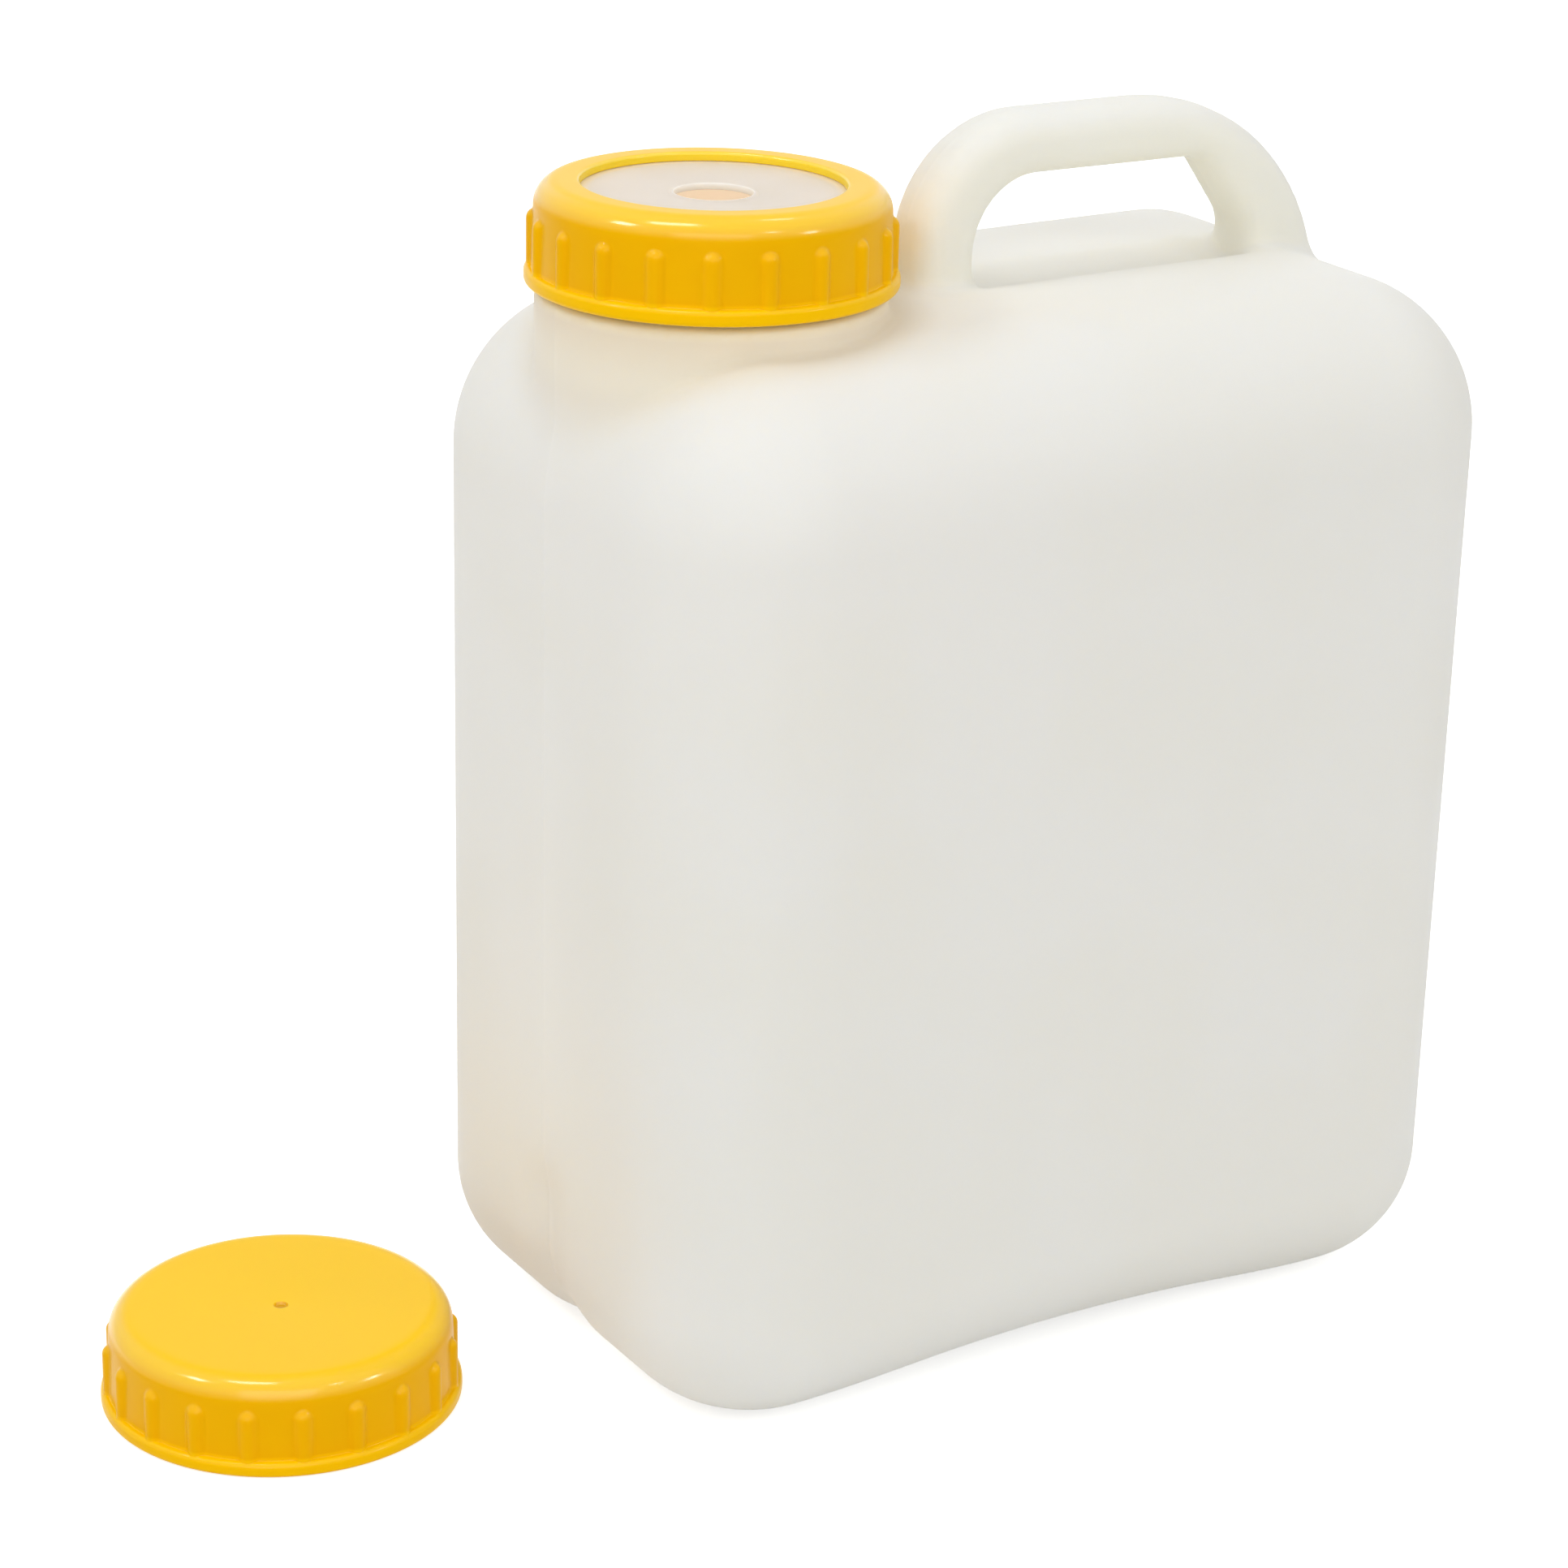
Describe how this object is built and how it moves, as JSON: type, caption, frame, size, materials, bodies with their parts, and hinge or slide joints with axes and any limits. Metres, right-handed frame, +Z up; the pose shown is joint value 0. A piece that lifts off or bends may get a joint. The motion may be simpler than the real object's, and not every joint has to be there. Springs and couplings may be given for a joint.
{
  "type": "wide-neck jerry can",
  "caption": "Upright blow-moulded wide-neck can with a hollow top handle, a screw ring holding a drilled insert disc, and a spare closed screw cap beside it.",
  "frame": {"origin": "on the ground under the middle of the can, between its feet", "axes": "+Z up; +X along the can's length from the neck towards the handle's far leg; +Y across the can"},
  "size_m": [0.4186, 0.181, 0.371],
  "materials": {
    "can_plastic": "milky translucent, satin",
    "cap_plastic": "golden yellow, glossy",
    "disc_plastic": "milky translucent, satin",
    "seal_rubber": "soft matt, off-white"
  },
  "bodies": {
    "can": {"can_body": "can_plastic"},
    "insert": {"insert_disc": "disc_plastic", "neck_seal": "seal_rubber"},
    "ring": {"screw_ring": "cap_plastic"},
    "spare_cap": {"spare_cap": "cap_plastic", "spare_cap_seal": "seal_rubber"}
  },
  "joints": [
    {"name": "insert_lift", "type": "slide", "parent": "can", "child": "insert", "axis": [0, 0, 1], "range_m": [0, 0.0301]},
    {"name": "ring_turn", "type": "hinge", "parent": "insert", "child": "ring", "pos_m": [-0.09, 0, 0.3295], "axis": [0, 0, 1], "range_deg": [0, 1800]},
    {"name": "spare_cap_lift", "type": "slide", "parent": "can", "child": "spare_cap", "axis": [0, 0, 1], "range_m": [0, 0.12]}
  ],
  "couplings": [
    {"joint": "insert_lift", "follows": "ring_turn", "m_per_rad": 0.00095493}
  ]
}
